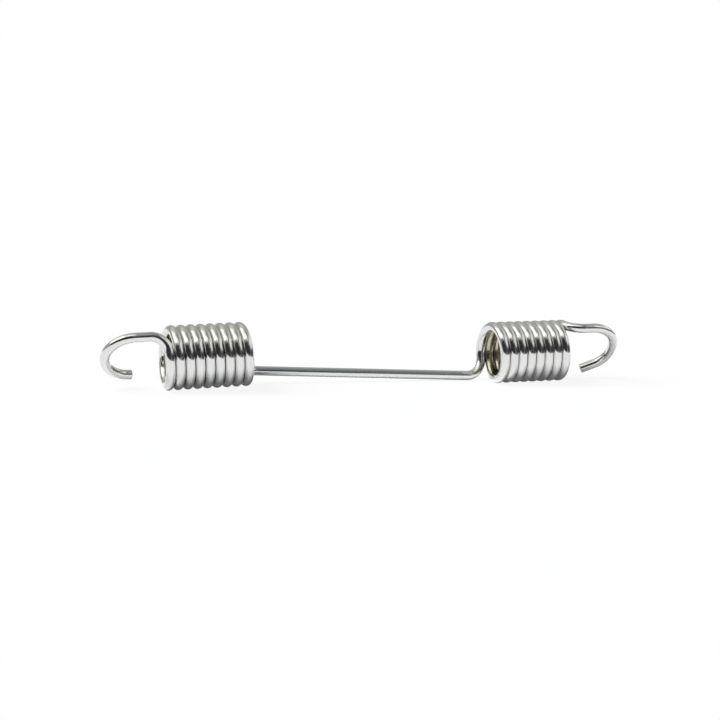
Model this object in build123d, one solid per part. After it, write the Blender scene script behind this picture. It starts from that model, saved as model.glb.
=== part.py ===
from build123d import *
from math import cos, radians, sin
import os

# Brake pad spring: one length of round spring wire, wound into two close coils. A straight
# link joins them along their back, and the far end of each coil is bent out into a hook.
# Lengths are in millimetres and angles in degrees. X runs along the spring and Z is up from
# the surface that it lies on. An angle round a coil is counted from its underside, and
# towards the back, which is +Y.

# Wire
wire_diameter = 2.25
tip_rounding = 0.2          # worn edge of the two sheared ends

# Coils
coil_outer_diameter = 14.9
turn_gap = 0.025            # clear space between neighbouring turns
left_coil_turns = 8.35      # from the bend of the link to the bend of the hook
right_coil_turns = 8.33
coil_to_coil = 61.3         # between the ends that the link joins
left_coil_tilt = 2.1        # each coil leans out of the spring's line, with its right end up
right_coil_tilt = 1.1

# Bends where the wire turns off a coil, all made over one pin
bend_radius = 4.05
link_run_out = 0.25         # straight wire between a coil and the link's bend
link_leave_angle = 15.4     # where the wire leaves the left coil
link_join_angle = 66.8      # and where it joins the right one

# Left hook, which is nearly one round loop
left_shank_length = 3.2
left_crown_radius = 6.45
left_crown_angle = 38.0
left_throat_radius = 6.2
left_throat_angle = 139.5
left_tip_length = 0.8

# Right hook: a wide crown, a closer throat and a straight tip
right_shank_length = 2.0
right_crown_radius = 7.65
right_crown_angle = 100.0
right_throat_radius = 5.35
right_throat_angle = 52.0
right_tip_length = 3.8

# Sizes that follow
wire_radius = wire_diameter / 2
coil_outer_radius = coil_outer_diameter / 2
coil_radius = coil_outer_radius - wire_radius
coil_pitch = wire_diameter + turn_gap


def wound_coil(side, turns, tilt, start_angle):
    """The middle line of the wire through one coil, with the coil's axis and centre.

    The coil lies on the first of its turns that passes the underside.
    """
    length = coil_pitch * turns
    first_pass = coil_pitch * (-start_angle % 360) / 360
    height = coil_outer_radius * cos(radians(tilt)) + (length / 2 - first_pass) * sin(radians(tilt))
    centre = Vector(side * (coil_to_coil + length) / 2, 0, height)
    axis = Vector(cos(radians(tilt)), 0, sin(radians(tilt)))
    underside = Vector(sin(radians(tilt)), 0, -cos(radians(tilt)))
    to_start = underside.rotate(Axis((0, 0, 0), axis), start_angle)
    seat = Plane(origin=centre - axis * (length / 2), x_dir=to_start, z_dir=axis)
    return seat * Helix(coil_pitch, length, coil_radius), axis, centre


def square_to(heading, wanted):
    """The direction nearest to the wanted one that is square to the heading."""
    return (wanted - heading * heading.dot(wanted)).normalized()


def bend(start, heading, towards, radius, angle):
    """One arc of wire, then the heading and the inward direction at its end."""
    half, full = radians(angle / 2), radians(angle)
    middle = start + heading * (radius * sin(half)) + towards * (radius * (1 - cos(half)))
    end = start + heading * (radius * sin(full)) + towards * (radius * (1 - cos(full)))
    end_heading = heading * cos(full) + towards * sin(full)
    end_towards = towards * cos(full) - heading * sin(full)
    return ThreePointArc(start, middle, end), end_heading, end_towards


def hook(start, heading, outward, centre, shank, crown, throat, tip):
    """The middle line of one hook, from its coil's last turn to its tip.

    The wire bends off the coil and runs out beside it as the shank. The loop then lies in
    the plane of the shank and the coil's axis, so that its pull is in line with the coil.
    """
    turn_off = heading.get_angle(outward)
    first, heading, _ = bend(start, heading, square_to(heading, outward), bend_radius, turn_off)
    shank_end = first @ 1 + heading * shank
    inward = square_to(heading, centre - shank_end)
    crown_arc, heading, inward = bend(shank_end, heading, inward, *crown)
    throat_arc, heading, _ = bend(crown_arc @ 1, heading, inward, *throat)
    return [
        first,
        Line(first @ 1, shank_end),
        crown_arc,
        throat_arc,
        Line(throat_arc @ 1, throat_arc @ 1 + heading * tip),
    ]


def link(start, start_heading, end, end_heading):
    """The middle line of the link, bent off both coils and straight between them."""
    reach = bend_radius + link_run_out
    corners = [start + start_heading * reach, end - end_heading * reach]
    return FilletPolyline(start, *corners, end, radius=bend_radius)


# The two coils
left_start_angle = link_leave_angle - 360 * left_coil_turns
left_coil, left_axis, left_centre = wound_coil(
    -1, left_coil_turns, left_coil_tilt, left_start_angle
)
right_coil, right_axis, right_centre = wound_coil(
    1, right_coil_turns, right_coil_tilt, link_join_angle
)

# The hooks run on from the coils' outer ends
left_hook = hook(
    left_coil @ 0,
    -(left_coil % 0),
    -left_axis,
    left_centre,
    left_shank_length,
    (left_crown_radius, left_crown_angle),
    (left_throat_radius, left_throat_angle),
    left_tip_length,
)
right_hook = hook(
    right_coil @ 1,
    right_coil % 1,
    right_axis,
    right_centre,
    right_shank_length,
    (right_crown_radius, right_crown_angle),
    (right_throat_radius, right_throat_angle),
    right_tip_length,
)
middle_link = link(left_coil @ 1, left_coil % 1, right_coil @ 0, right_coil % 0)

# One length of round wire, drawn along the whole of its middle line
wire_line = Wire([*left_hook, left_coil, *middle_link.edges(), right_coil, *right_hook])
wire_end = Plane(origin=wire_line @ 0, z_dir=wire_line % 0)
spring = sweep(wire_end * Circle(wire_radius), wire_line, is_frenet=True)

# The sheared ends are the wire's only flat faces
ends = spring.faces().filter_by(GeomType.PLANE)
spring = fillet(ends.edges(), tip_rounding)

# The origin is under the middle of the spring, on the surface that it lies on
outline = spring.bounding_box()
spring = Pos(-outline.center().X, -outline.center().Y, -outline.min.Z) * spring

os.makedirs("parts", exist_ok=True)
export_step(spring, "parts/spring_wire.step")
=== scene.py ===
from math import ceil, cos, degrees, pi, radians, sin, tan, tau

import bpy
from mathutils import Matrix, Vector


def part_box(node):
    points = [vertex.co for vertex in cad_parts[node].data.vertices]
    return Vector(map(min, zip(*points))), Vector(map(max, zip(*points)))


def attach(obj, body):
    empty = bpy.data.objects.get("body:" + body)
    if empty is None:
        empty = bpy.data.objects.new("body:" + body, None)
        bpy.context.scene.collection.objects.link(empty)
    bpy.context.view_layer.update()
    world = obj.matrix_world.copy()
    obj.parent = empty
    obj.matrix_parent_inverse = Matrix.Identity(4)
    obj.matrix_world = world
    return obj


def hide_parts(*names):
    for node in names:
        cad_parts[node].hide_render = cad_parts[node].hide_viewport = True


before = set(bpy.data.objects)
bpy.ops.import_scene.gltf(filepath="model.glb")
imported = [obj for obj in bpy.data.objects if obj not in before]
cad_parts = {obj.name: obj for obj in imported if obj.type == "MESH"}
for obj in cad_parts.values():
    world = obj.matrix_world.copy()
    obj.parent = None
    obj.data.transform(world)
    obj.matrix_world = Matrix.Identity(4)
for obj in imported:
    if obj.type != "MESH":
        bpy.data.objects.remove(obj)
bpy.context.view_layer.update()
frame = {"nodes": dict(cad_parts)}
scene = bpy.context.scene
scene.view_settings.view_transform = "Standard"
print("frame loaded:", ", ".join(frame["nodes"]))


# The line that the wire follows, in metres and degrees. An angle round a coil counts from its
# underside, towards the back.
spring = {
    "wireDiameter": 0.00225,
    "coilDiameter": 0.0149,        # outside
    "turnGap": 0.000025,
    "coilToCoil": 0.0613,
    "bendRadius": 0.00405,         # one pin makes every bend off a coil
    "linkRunOut": 0.00025,
    "linkLeaves": 15.4,            # angle on the left coil
    "linkJoins": 66.8,             # angle on the right coil
}
leftEnd = {
    "turns": 8.35,
    "lean": 2.1,
    "shank": 0.0032,
    "crown": (0.00645, 38.0),      # radius, angle
    "throat": (0.0062, 139.5),
    "tip": 0.0008,
}
rightEnd = {
    "turns": 8.33,
    "lean": 1.1,
    "shank": 0.002,
    "crown": (0.00765, 100.0),
    "throat": (0.00535, 52.0),
    "tip": 0.0038,
}
wireRadius = spring["wireDiameter"] / 2
coilRadius = spring["coilDiameter"] / 2 - wireRadius
pitch = spring["wireDiameter"] + spring["turnGap"]


def turnsOfCoil(side, end, startAngle, step):
    # points down one coil, its headings, its axis and its centre
    length, lean = pitch * end["turns"], radians(end["lean"])
    axis = Vector((cos(lean), 0, sin(lean)))
    down, back = Vector((sin(lean), 0, -cos(lean))), Vector((0, 1, 0))
    firstPass = pitch * (-startAngle % 360) / 360
    height = spring["coilDiameter"] / 2 * cos(lean) + (length / 2 - firstPass) * sin(lean)
    centre = Vector((side * (spring["coilToCoil"] + length) / 2, 0, height))
    count = ceil(end["turns"] * tau * coilRadius / step)
    points, headings = [], []
    for i in range(count + 1):
        run = end["turns"] * i / count
        angle = radians(startAngle) + run * tau
        out = down * cos(angle) + back * sin(angle)
        points.append(centre + axis * (pitch * run - length / 2) + out * coilRadius)
        headings.append((axis * pitch / tau + axis.cross(out) * coilRadius).normalized())
    return points, headings, axis, centre


def squareTo(heading, wanted):
    return (wanted - heading * heading.dot(wanted)).normalized()


def bendWire(points, headings, towards, radius, angle, step):
    # runs the wire on round one arc, and gives the inward direction at its end
    start, heading, full = points[-1], headings[-1], radians(angle)
    count = max(3, ceil(full * (radius + wireRadius) / step))
    for i in range(1, count + 1):
        a = full * i / count
        points.append(start + heading * (radius * sin(a)) + towards * (radius * (1 - cos(a))))
        headings.append(heading * cos(a) + towards * sin(a))
    return towards * cos(full) - heading * sin(full)


def runStraight(points, headings, length, step):
    start, heading = points[-1], headings[-1]
    count = max(1, ceil(length / step))
    for i in range(1, count + 1):
        points.append(start + heading * (length * i / count))
        headings.append(heading.copy())


def bendHook(start, heading, outward, centre, end, step):
    # off the coil, out along the shank, round the crown and the throat, to the tip
    points, headings = [start], [heading]
    turnOff = degrees(heading.angle(outward))
    bendWire(points, headings, squareTo(heading, outward), spring["bendRadius"], turnOff, step)
    runStraight(points, headings, end["shank"], step)
    inward = squareTo(headings[-1], centre - points[-1])
    inward = bendWire(points, headings, inward, *end["crown"], step)
    bendWire(points, headings, inward, *end["throat"], step)
    runStraight(points, headings, end["tip"], step)
    return points[1:], headings[1:]


def bendLink(start, startHeading, end, endHeading, step):
    # straight between two bends, one off each coil
    reach = spring["bendRadius"] + spring["linkRunOut"]
    corners = [start + startHeading * reach, end - endHeading * reach]
    across = (corners[1] - corners[0]).normalized()
    points, headings = [start], [startHeading]
    for corner, after in ((corners[0], across), (corners[1], endHeading)):
        turn = headings[-1].angle(after)
        cut = spring["bendRadius"] * tan(turn / 2)
        runStraight(points, headings, (corner - points[-1]).length - cut, step)
        towards = squareTo(headings[-1], after)
        bendWire(points, headings, towards, spring["bendRadius"], degrees(turn), step)
    runStraight(points, headings, (end - points[-1]).length, step)
    return points[1:-1], headings[1:-1]


def shelterOfCoil(points, axis, centre):
    # from each point towards the coil's axis, fading out over about a turn at either end
    shelter, fade = [], len(points) * wireMesh["shelterFade"]
    for i, point in enumerate(points):
        inward = centre - point
        inward = (inward - axis * inward.dot(axis)).normalized()
        shelter.append(inward * min(1, i / fade, (len(points) - 1 - i) / fade))
    return shelter


wireMesh = {
    "step": 0.00045,               # between rings along the wire
    "sides": 44,
    "tipRounding": 0.0002,         # worn rim of the sheared ends
    "rimSteps": 5,
    "faceRings": (0.66, 0.33, 0.0),  # on a sheared face, as shares of its radius
    "shelterFade": 0.125,          # share of a coil's length, at each end of it
    "bakeRows": 10,                # for the bake map, the wire is cut into rows of one length
    "bakeGap": 0.00035,
    "bakeFaceScale": 1.5,          # a sheared face is laid out larger than it is
    "bakeFacesAt": (3, 9),         # their middles, in wire radii from the sheet's left side
}
step = wireMesh["step"]
leftPoints, leftHeadings, leftAxis, leftCentre = turnsOfCoil(
    -1, leftEnd, spring["linkLeaves"] - 360 * leftEnd["turns"], step)
rightPoints, rightHeadings, rightAxis, rightCentre = turnsOfCoil(
    1, rightEnd, spring["linkJoins"], step)
leftHook = bendHook(leftPoints[0], -leftHeadings[0], -leftAxis, leftCentre, leftEnd, step)
rightHook = bendHook(rightPoints[-1], rightHeadings[-1], rightAxis, rightCentre, rightEnd, step)
link = bendLink(leftPoints[-1], leftHeadings[-1], rightPoints[0], rightHeadings[0], step)
linePoints = leftHook[0][::-1] + leftPoints + link[0] + rightPoints + rightHook[0]
lineHeadings = ([-h for h in leftHook[1][::-1]] + leftHeadings + link[1]
                + rightHeadings + rightHook[1])
bare = Vector((0, 0, 0))
lineShelter = ([bare] * len(leftHook[0]) + shelterOfCoil(leftPoints, leftAxis, leftCentre)
               + [bare] * len(link[0]) + shelterOfCoil(rightPoints, rightAxis, rightCentre)
               + [bare] * len(rightHook[0]))
print("wire line:", len(linePoints), "points")


def ringsAlong(points, headings, shelter):
    # a ring square to the line at each point, carried along it without twist
    side, run, rings = Vector((0, 0, 1)), 0.0, []
    for i, (point, heading, inward) in enumerate(zip(points, headings, shelter)):
        side = squareTo(heading, side)
        if i:
            run += (point - points[i - 1]).length
        rings.append({"centre": point, "heading": heading, "side": side, "radius": wireRadius,
                      "run": run, "inward": inward})
    return rings


def wearRim(ring, sign):
    # a quarter round from the wire's side into its sheared face, which is at the ring
    rounding, count = wireMesh["tipRounding"], wireMesh["rimSteps"]
    made = []
    for i in range(count + 1):
        a = pi / 2 * i / count
        back = ring["heading"] * (sign * rounding * (1 - sin(a)))
        made.append({**ring, "centre": ring["centre"] - back,
                     "radius": wireRadius - rounding * (1 - cos(a)),
                     "run": ring["run"] + sign * rounding * (a - 1)})
    return made


def roundRing(ring, share=1.0):
    # the ring's corners, and how far each faces the coil's bore, from 0 to 1
    sides, other = wireMesh["sides"], ring["heading"].cross(ring["side"])
    corners, facing = [], []
    for k in range(sides if share else 1):
        out = ring["side"] * cos(tau * k / sides) + other * sin(tau * k / sides)
        corners.append(ring["centre"] + out * (ring["radius"] * share))
        facing.append((ring["inward"].length + out.dot(ring["inward"])) / 2)
    return corners, facing


def drawWire(name, points, headings, shelter):
    # one closed mesh: the wire's side, its worn rims and its two sheared faces
    sides, rows, gap = wireMesh["sides"], wireMesh["bakeRows"], wireMesh["bakeGap"]
    rings = ringsAlong(points, headings, shelter)
    wireLength = rings[-1]["run"]
    clear = wireMesh["tipRounding"] * 1.05  # a ring nearer to a tip would crowd its rim
    between = [r for r in rings if clear <= r["run"] <= wireLength - clear]
    rings = wearRim(rings[0], -1)[::-1] + between + wearRim(rings[-1], 1)
    corners, faces, facing = [], [], []
    for ring in rings:
        made = roundRing(ring)
        corners += made[0]
        facing += made[1]

    # wireMap has turns round the wire and metres along it. The bake map lays rows of the wire
    # side by side on a square sheet, with two gaps left at each end of a row, and the two
    # sheared faces past the last row.
    girth, rowLength = tau * wireRadius, wireLength / rows
    sheet = rowLength + 4 * gap
    wirePlaces, bakePlaces = [], []
    for i, (ring, after) in enumerate(zip(rings, rings[1:])):
        row = int(min(max((ring["run"] + after["run"]) / 2 / rowLength, 0), rows - 1))
        for k in range(sides):
            n = (k + 1) % sides
            faces.append((i * sides + k, i * sides + n, (i + 1) * sides + n, (i + 1) * sides + k))
            places = [(k / sides, ring["run"]), ((k + 1) / sides, ring["run"]),
                      ((k + 1) / sides, after["run"]), (k / sides, after["run"])]
            wirePlaces.append(places)
            bakePlaces.append([((v - row * rowLength + 2 * gap) / sheet,
                                (row * (girth + gap) + gap + (1 - u) * girth) / sheet)
                               for u, v in places])
    sideFaces = len(faces)

    ends = ((rings[0], 0, -1), (rings[-1], len(corners) - sides, 1))
    for (ring, base, sign), spotAt in zip(ends, wireMesh["bakeFacesAt"]):
        reach = wireMesh["bakeFaceScale"] * ring["radius"]
        middle = Vector((spotAt * wireRadius, rows * (girth + gap) + gap + reach))

        def bakeSpot(k, share):
            a = tau * k / sides
            return tuple((middle + Vector((cos(a), sign * sin(a))) * (reach * share)) / sheet)

        outer, outerShare = [base + k for k in range(sides)], 1.0
        for share in wireMesh["faceRings"]:
            made = roundRing(ring, share)[0]
            inner = [len(corners) + k for k in range(len(made))]
            corners += made
            facing += [0.0] * len(made)
            for k in range(sides):
                n = (k + 1) % sides
                face = [outer[k], outer[n], inner[n % len(inner)], inner[k % len(inner)]]
                spots = [bakeSpot(k, outerShare), bakeSpot(k + 1, outerShare),
                         bakeSpot(k + 1, share), bakeSpot(k, share)]
                if not share:      # triangles round the middle point
                    face.pop()
                    spots.pop()
                if sign < 0:
                    face.reverse()
                    spots.reverse()
                faces.append(face)
                bakePlaces.append(spots)
                wirePlaces.append([(k / sides, ring["run"])] * len(face))
            outer, outerShare = inner, share

    mesh = bpy.data.meshes.new(name)
    mesh.from_pydata(corners, [], faces)
    for label, places in (("wireMap", wirePlaces), ("OFBake", bakePlaces)):
        layer = mesh.uv_layers.new(name=label)
        layer.data.foreach_set("uv", [c for face in places for corner in face for c in corner])
    mesh.polygons.foreach_set("use_smooth", [i < sideFaces for i in range(len(faces))])
    mesh.polygons.foreach_set("material_index", [int(i >= sideFaces) for i in range(len(faces))])
    innerSide = mesh.attributes.new("innerSide", "FLOAT", "POINT")
    innerSide.data.foreach_set("value", facing)
    mesh.validate()
    mesh.update()
    return mesh


wireBody = drawWire("springWire", linePoints, lineHeadings, lineShelter)
low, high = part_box("spring_wire")  # the wire is moved to stand where its solid does
own =[[pick(v.co[i] for v in wireBody.vertices) for i in range(3)] for pick in (min, max)]
shift = Vector(((low[0] + high[0] - own[0][0] - own[1][0]) / 2,
                (low[1] + high[1] - own[0][1] - own[1][1]) / 2, low[2] - own[0][2]))
wireBody.transform(Matrix.Translation(shift))
wirePiece = bpy.data.objects.new("springWire", wireBody)
scene.collection.objects.link(wirePiece)
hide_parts("spring_wire")
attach(wirePiece, "root")
print("wire mesh:", len(wireBody.polygons), "faces, moved by",
      [round(1000 * c, 4) for c in shift], "mm")


def addNode(tree, kind, values=(), **settings):
    # values gives sockets by name or number, each a plain value or a socket to link from
    node = tree.nodes.new(kind)
    for name, value in settings.items():
        setattr(node, name, value)
    for name, value in dict(values).items():
        if isinstance(value, bpy.types.NodeSocket):
            tree.links.new(value, node.inputs[name])
        else:
            node.inputs[name].default_value = value
    return node


def calc(tree, operation, *values, **settings):
    # what a Math node puts out
    settings["operation"] = operation
    return addNode(tree, "ShaderNodeMath", enumerate(values), **settings).outputs[0]


def remap(tree, value, start, end, low=0.0, high=1.0, **settings):
    values = {"Value": value, "From Min": start, "From Max": end, "To Min": low, "To Max": high}
    return addNode(tree, "ShaderNodeMapRange", values, **settings).outputs[0]


def mixColours(tree, share, first, second):
    values = {0: share}
    for number, colour in ((6, first), (7, second)):
        values[number] = (*colour, 1) if isinstance(colour, tuple) else colour
    return addNode(tree, "ShaderNodeMix", values, data_type="RGBA").outputs[2]


def newGroup(name, inputs, outputs):
    tree = bpy.data.node_groups.new(name, "ShaderNodeTree")
    for label, value in inputs.items():
        socket = tree.interface.new_socket(label, in_out="INPUT", socket_type="NodeSocketFloat")
        socket.default_value = value
    for label in outputs:
        tree.interface.new_socket(label, in_out="OUTPUT", socket_type="NodeSocketFloat")
    return tree, tree.nodes.new("NodeGroupInput").outputs, tree.nodes.new("NodeGroupOutput").inputs


# Marks on the wire. A stretch is how many times longer along the wire a mark is than across it.
wireMarks = {
    "fineStretch": 90.0,           # lines from the drawing die
    "broadStretch": 40.0,
    "rippleStretch": 6.0,
    "rippleWidth": 0.0012,
    "cloudStretch": 3.0,
    "cloudWidth": 0.0035,
    "dentStretch": 1.4,
    "dentRim": (0.05, 0.2),        # in spacings, from its bottom to its rim
    "dentsLeftOut": 0.45,          # share of the cells without a dent
    "scratchStretch": 3.0,
    "scratchWidth": (0.002, 0.007),  # in spacings, from full to nothing
    "scratchDepth": 0.000002,
    "scratchPatch": (0.5, 0.6),    # scratches are kept where this noise is high
    "patchStretch": 2.0,
    "patchWidth": 0.0016,
}


def makeDrawnWire():
    # what drawing, barrel plating and handling leave on the wire. Widths and depths are metres.
    tree, given, made = newGroup(
        "drawnWire",
        {"Fine Line": 0.00007, "Fine Depth": 0.000003, "Broad Line": 0.0004,
         "Broad Depth": 0.000008, "Ripple Depth": 0.00001, "Dent Spacing": 0.0024,
         "Dent Depth": 0.000008, "Even Roughness": 0.05, "Rough Spread": 0.07,
         "Scratch Spacing": 0.003, "Scratch Roughness": 0.2},
        ("Cloud", "Roughness", "Height"),
    )
    marks = wireMarks
    place = addNode(tree, "ShaderNodeUVMap", uv_map="wireMap").outputs["UV"]
    parts = addNode(tree, "ShaderNodeSeparateXYZ", {0: place}).outputs
    turn = calc(tree, "MULTIPLY", parts["X"], tau)
    across = [calc(tree, "MULTIPLY", calc(tree, wave, turn), wireRadius)
              for wave in ("COSINE", "SINE")]

    def spot(stretch, width):
        # a place on the wire, drawn out along it, measured in widths
        along = calc(tree, "DIVIDE", parts["Y"], stretch)
        spread = [calc(tree, "DIVIDE", value, width) for value in (*across, along)]
        return addNode(tree, "ShaderNodeCombineXYZ", enumerate(spread)).outputs[0]

    def noiseOf(stretch, width, detail):
        values = {"Vector": spot(stretch, width), "Scale": 1.0, "Detail": detail,
                  "Roughness": 0.55}
        return addNode(tree, "ShaderNodeTexNoise", values).outputs["Fac"]

    fine = noiseOf(marks["fineStretch"], given["Fine Line"], detail=2.0)
    broad = noiseOf(marks["broadStretch"], given["Broad Line"], detail=2.0)
    ripple = noiseOf(marks["rippleStretch"], marks["rippleWidth"], detail=1.0)
    cloud = noiseOf(marks["cloudStretch"], marks["cloudWidth"], detail=4.0)

    dents = addNode(tree, "ShaderNodeTexVoronoi",
                    {"Vector": spot(marks["dentStretch"], given["Dent Spacing"]), "Scale": 1.0})
    chance = addNode(tree, "ShaderNodeSeparateColor", {0: dents.outputs["Color"]}).outputs[0]
    pit = calc(tree, "MULTIPLY",
               remap(tree, dents.outputs["Distance"], *marks["dentRim"], low=-1.0, high=0.0,
                     interpolation_type="SMOOTHERSTEP"),
               calc(tree, "GREATER_THAN", chance, marks["dentsLeftOut"]))

    # hairline scratches: the edges of long cells, kept only in a few patches
    cells = addNode(tree, "ShaderNodeTexVoronoi",
                    {"Vector": spot(marks["scratchStretch"], given["Scratch Spacing"]),
                     "Scale": 1.0}, feature="DISTANCE_TO_EDGE")
    patches = noiseOf(marks["patchStretch"], marks["patchWidth"], detail=2.0)
    edges = remap(tree, cells.outputs["Distance"], *marks["scratchWidth"], low=1.0, high=0.0)
    hair = calc(tree, "MULTIPLY", edges, remap(tree, patches, *marks["scratchPatch"]))

    height = calc(tree, "MULTIPLY", fine, given["Fine Depth"])
    for mark, depth in ((broad, given["Broad Depth"]), (ripple, given["Ripple Depth"]),
                        (pit, given["Dent Depth"]), (hair, -marks["scratchDepth"])):
        height = calc(tree, "MULTIPLY_ADD", mark, depth, height)
    rough = calc(tree, "MULTIPLY_ADD", calc(tree, "MULTIPLY", cloud, broad),
                 given["Rough Spread"], given["Even Roughness"])
    rough = calc(tree, "MULTIPLY_ADD", hair, given["Scratch Roughness"], rough)
    tree.links.new(cloud, made["Cloud"])
    tree.links.new(rough, made["Roughness"])
    tree.links.new(height, made["Height"])
    return tree


def newMetal(name):
    material = bpy.data.materials.new(name)
    material.use_nodes = True
    shader = material.node_tree.nodes["Principled BSDF"]
    shader.inputs["Metallic"].default_value = 1.0
    return material, material.node_tree, shader.inputs


def bumpFrom(tree, height):
    # heights come in metres
    values = {"Strength": 1.0, "Distance": 1.0, "Height": height}
    return addNode(tree, "ShaderNodeBump", values).outputs["Normal"]


brightPlate = {
    "dull": (0.75, 0.748, 0.733),
    "bright": (0.82, 0.818, 0.805),
    "boreShadeAndThinPlate": (0.54, 0.51, 0.40),    # thin, yellowish plating where the bath hardly reached, darkened further as painted shade inside the coil's bore
    "boreRoughness": 0.10,
    "boreFrom": 0.48,              # 0 is the outside of a coil and 1 the side towards its bore
    "boreTo": 0.9,
    "drawn": {"Fine Line": 0.00008, "Fine Depth": 0.000005, "Broad Line": 0.0004,
              "Broad Depth": 0.000012, "Ripple Depth": 0.000008, "Dent Spacing": 0.0024,
              "Dent Depth": 0.000006, "Even Roughness": 0.055, "Rough Spread": 0.22,
              "Scratch Spacing": 0.003, "Scratch Roughness": 0.25},
}


def makeBrightPlate(name, look):
    material, tree, shader = newMetal(name)
    drawn = addNode(tree, "ShaderNodeGroup", look["drawn"], node_tree=makeDrawnWire())
    inner = addNode(tree, "ShaderNodeAttribute", attribute_name="innerSide").outputs["Fac"]
    # painted shade: towards the coil's bore the colour turns darker and yellowish, partly for the
    # thin plating there and partly as the bore's shade; the added roughness is the thin plating's
    thinPlateAndShade = remap(tree, inner, look["boreFrom"], look["boreTo"], interpolation_type="SMOOTHSTEP")
    tint = mixColours(tree, drawn.outputs["Cloud"], look["dull"], look["bright"])
    tree.links.new(mixColours(tree, thinPlateAndShade, tint, look["boreShadeAndThinPlate"]), shader["Base Color"])
    rough = calc(tree, "MULTIPLY_ADD", thinPlateAndShade, look["boreRoughness"], drawn.outputs["Roughness"])
    tree.links.new(rough, shader["Roughness"])
    tree.links.new(bumpFrom(tree, drawn.outputs["Height"]), shader["Normal"])
    return material


shearedFace = {
    "cut": (0.60, 0.595, 0.57),
    "torn": (0.36, 0.355, 0.335),  # where the wire broke off at the end of the cut
    "tornFrom": (0.44, 0.56),
    "tornScale": 700.0,            # torn parts to a metre
    "markWidth": 0.00016,
    "markDepth": 0.00006,
    "markSpread": (1, 0.25, 1),    # draws the marks out one way across the face
    "roughness": (0.16, 0.38),     # cut, torn
}


def makeShearedFace(name, look):
    # a plated cut: fine marks one way across the face, with a coarser torn part
    material, tree, shader = newMetal(name)
    place = addNode(tree, "ShaderNodeTexCoord").outputs["Object"]
    drawnOut = addNode(tree, "ShaderNodeMapping", {"Vector": place, "Scale": look["markSpread"]})
    marks = addNode(tree, "ShaderNodeTexNoise",
                    {"Vector": drawnOut.outputs["Vector"], "Scale": 1 / look["markWidth"],
                     "Detail": 3.0, "Roughness": 0.6}).outputs["Fac"]
    patch = addNode(tree, "ShaderNodeTexNoise",
                    {"Vector": place, "Scale": look["tornScale"], "Detail": 2.0}).outputs["Fac"]
    torn = remap(tree, patch, *look["tornFrom"], interpolation_type="SMOOTHSTEP")
    tree.links.new(mixColours(tree, torn, look["cut"], look["torn"]), shader["Base Color"])
    tree.links.new(remap(tree, torn, 0.0, 1.0, *look["roughness"]), shader["Roughness"])
    height = calc(tree, "MULTIPLY", marks, look["markDepth"])
    tree.links.new(bumpFrom(tree, height), shader["Normal"])
    return material


wireBody.materials.append(makeBrightPlate("brightPlatedWire", brightPlate))
wireBody.materials.append(makeShearedFace("shearedWireEnd", shearedFace))
print("finishes made")


tableTop = {
    "size": 3.0,
    "colour": (0.92, 0.93, 0.945),
    "roughness": 0.9,
    "whiteInView": 0.9,            # how far the camera sees the sheet as plain white
    "whiteInMetal": 0.05,          # and how far the metal does
}


def layTableTop():
    half = tableTop["size"] / 2
    mesh = bpy.data.meshes.new("paperSheet")
    mesh.from_pydata([(-half, -half, 0), (half, -half, 0), (half, half, 0), (-half, half, 0)],
                     [], [(0, 1, 2, 3)])
    floor = bpy.data.objects.new("paperSheet", mesh)
    scene.collection.objects.link(floor)
    paper = bpy.data.materials.new("palePaper")
    paper.use_nodes = True
    tree = paper.node_tree
    sheet = tree.nodes["Principled BSDF"]
    sheet.inputs["Base Color"].default_value = (*tableTop["colour"], 1)
    sheet.inputs["Roughness"].default_value = tableTop["roughness"]
    sheet.inputs["Specular IOR Level"].default_value = 0.0
    rays = addNode(tree, "ShaderNodeLightPath").outputs
    metalRays = calc(tree, "ADD", rays["Is Glossy Ray"], rays["Is Transmission Ray"])
    metalShare = calc(tree, "MULTIPLY", metalRays, tableTop["whiteInMetal"])
    share = calc(tree, "MULTIPLY_ADD", rays["Is Camera Ray"], tableTop["whiteInView"],
                 metalShare, use_clamp=True)
    white = addNode(tree, "ShaderNodeEmission", {"Color": (1, 1, 1, 1), "Strength": 1.0})
    blend = addNode(tree, "ShaderNodeMixShader",
                    {0: share, 1: sheet.outputs[0], 2: white.outputs[0]})
    tree.links.new(blend.outputs[0], tree.nodes["Material Output"].inputs["Surface"])
    mesh.materials.append(paper)


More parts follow.
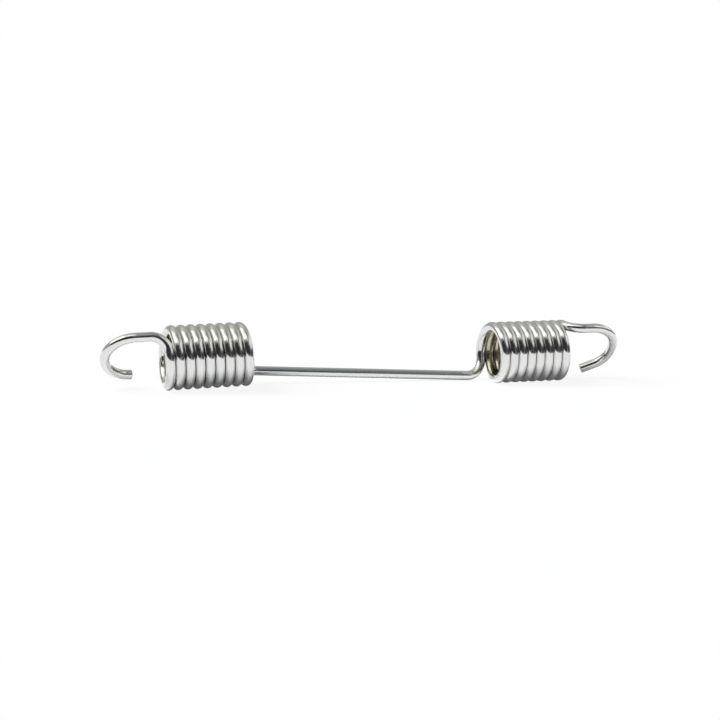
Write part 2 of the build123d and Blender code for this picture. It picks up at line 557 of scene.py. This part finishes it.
# What the metal reflects: a pale room with a few dark and bright panels. Degrees, azimuth from
# the front (-Y) towards +X. Each panel is laid over the ones before it.
room = {
    "walls": (0.42, 0.42, 0.40),
    "ambient": 0.12,               # even light on everything that isn't shiny
    "openSky": 0.998,              # what the camera sees past the sheet
    "panels": {
        # name: azimuth, elevation, half width, half height, rise, lean, edge, colour
        "backWallFoot": (171, 1, 17, 8, 0.15, 0, 3, (0.89, 0.89, 0.88)),
        "leftWallTop": (-170, 56, 27, 21, 0, -0.08, 7, (0.57, 0.58, 0.55)),
        "paleCeiling": (-78, 73, 80, 27, 0.12, 0, 7, (0.72, 0.72, 0.69)),
        "coolCeiling": (93, 81, 49, 15, 0.09, 0, 3, (0.24, 0.26, 0.275)),
        "overWindow": (-27, 70, 43, 8, 0, 0, 3, (1.22, 1.22, 1.18)),
        "risingBand": (29, 37, 20, 28, 0, 0.28, 5, (0.165, 0.18, 0.20)),
        "darkRoomTop": (-30, 36, 28, 14, 0.18, 0, 7, (0.04, 0.04, 0.038)),
        "darkRoom": (-34, 18, 51, 18, 0.05, 0.10, 4, (0.033, 0.033, 0.036)),
        "darkRight": (62, 9, 37, 10, -0.09, 0.06, 5, (0.06, 0.06, 0.063)),
        "rightWindowFrame": (88, 30, 43, 15, -0.27, 0.34, 5, (0.73, 0.73, 0.705)),
        "rightWindowNear": (56, 45, 17, 11, 0.21, 0.09, 3, (0.98, 0.98, 0.95)),
        "rightWindowFar": (105, 26, 16, 9, 0, 0, 3, (1.07, 1.07, 1.02)),
        "leftWallFoot": (-111, 6, 33, 7, -0.18, 0, 3, (0.35, 0.35, 0.34)),
        "leftWindow": (-111, 48, 24, 20, 0, 0, 3, (1.35, 1.35, 1.30)),
        "leftWindowWing": (-92, 44, 18, 24, -0.25, 1.08, 4, (1.5, 1.5, 1.44)),
    },
}


def makePanel():
    # mask of one upright panel with soft edges, in directions round the object
    tree, given, made = newGroup(
        "roomPanel",
        {"Azimuth": 0.0, "Elevation": 0.0, "Panel Azimuth": 0.0, "Panel Elevation": 0.0,
         "Half Width": 20.0, "Half Height": 20.0, "Rise": 0.0, "Lean": 0.0, "Edge": 3.0},
        ("Mask",),
    )
    across = calc(tree, "SUBTRACT", given["Azimuth"], given["Panel Azimuth"])
    across = calc(tree, "WRAP", across, 180.0, -180.0)
    lift = calc(tree, "MULTIPLY_ADD", across, given["Rise"], given["Panel Elevation"])
    up = calc(tree, "SUBTRACT", given["Elevation"], lift)
    aside = calc(tree, "SUBTRACT", across, calc(tree, "MULTIPLY", up, given["Lean"]))
    masks = []
    for offset, halfSize in ((aside, given["Half Width"]), (up, given["Half Height"])):
        inner = calc(tree, "SUBTRACT", halfSize, given["Edge"])
        outer = calc(tree, "ADD", halfSize, given["Edge"])
        masks.append(remap(tree, calc(tree, "ABSOLUTE", offset), inner, outer, low=1.0, high=0.0,
                           interpolation_type="SMOOTHSTEP"))
    tree.links.new(calc(tree, "MULTIPLY", *masks), made["Mask"])
    return tree


def makeRoom():
    world = bpy.data.worlds.new("studioRoom")
    world.use_nodes = True
    scene.world = world
    tree = world.node_tree
    tree.nodes.clear()
    towards = addNode(tree, "ShaderNodeTexCoord").outputs["Generated"]
    parts = addNode(tree, "ShaderNodeSeparateXYZ", {0: towards}).outputs
    front = calc(tree, "MULTIPLY", parts["Y"], -1.0)
    azimuth = calc(tree, "DEGREES", calc(tree, "ARCTAN2", parts["X"], front))
    elevation = calc(tree, "DEGREES", calc(tree, "ARCSINE", parts["Z"]))

    panelGroup = makePanel()
    labels = ("Panel Azimuth", "Panel Elevation", "Half Width", "Half Height", "Rise", "Lean",
              "Edge")
    seen = room["walls"]
    for name, (*shape, colour) in room["panels"].items():
        values = {"Azimuth": azimuth, "Elevation": elevation, **dict(zip(labels, shape))}
        panel = addNode(tree, "ShaderNodeGroup", values, node_tree=panelGroup, label=name)
        seen = mixColours(tree, panel.outputs["Mask"], seen, colour)

    # metal sees the panels, the camera sees plain white, and all else gets even light
    rays = addNode(tree, "ShaderNodeLightPath").outputs
    shinyRays = calc(tree, "ADD", rays["Is Glossy Ray"], rays["Is Transmission Ray"],
                     use_clamp=True)
    even = mixColours(tree, shinyRays, (room["ambient"],) * 3, seen)
    sky = mixColours(tree, rays["Is Camera Ray"], even, (room["openSky"],) * 3)
    background = addNode(tree, "ShaderNodeBackground", {"Color": sky})
    addNode(tree, "ShaderNodeOutputWorld", {"Surface": background.outputs[0]})


keyLight = {
    "strength": 3.85,
    "spread": 45,                  # degrees across, for a soft shadow
    "azimuth": -88,
    "elevation": 48,
}


def hangKeyLight():
    lamp = bpy.data.lights.new("softKey", "SUN")
    lamp.energy = keyLight["strength"]
    lamp.angle = radians(keyLight["spread"])
    sun = bpy.data.objects.new("softKey", lamp)
    sun.rotation_euler = (radians(90 - keyLight["elevation"]), 0, radians(keyLight["azimuth"]))
    sun.visible_glossy = False     # the room's panels are what the metal shows
    scene.collection.objects.link(sun)


view = {
    "place": (-0.130058, -0.369076, 0.071519),
    "swing": 0.33248,              # radians round from the front, towards -X
    "tip": radians(9.5),           # looks down
    "roll": 0.0390,
    "lens": 83.861,
}


def placeCamera():
    swing, tip, roll = view["swing"], view["tip"], view["roll"]
    looking = Vector((sin(swing) * cos(tip), cos(swing) * cos(tip), -sin(tip)))
    level = Vector((cos(swing), -sin(swing), 0))
    upright = level.cross(looking)
    rightward = level * cos(roll) + upright * sin(roll)
    upward = upright * cos(roll) - level * sin(roll)
    turned = Matrix((rightward, upward, -looking)).transposed()
    camera = bpy.data.objects.new("camera", bpy.data.cameras.new("camera"))
    camera.matrix_world = Matrix.Translation(view["place"]) @ turned.to_4x4()
    camera.data.lens = view["lens"]
    camera.data.sensor_width = 36.0
    camera.data.clip_start = 0.01
    camera.data.clip_end = 20.0
    scene.collection.objects.link(camera)
    scene.camera = camera


layTableTop()
print("table top laid")
makeRoom()
print("room made:", len(room["panels"]), "panels")
hangKeyLight()
print("key light hung")
placeCamera()
print("camera placed")

bpy.context.view_layer.update()
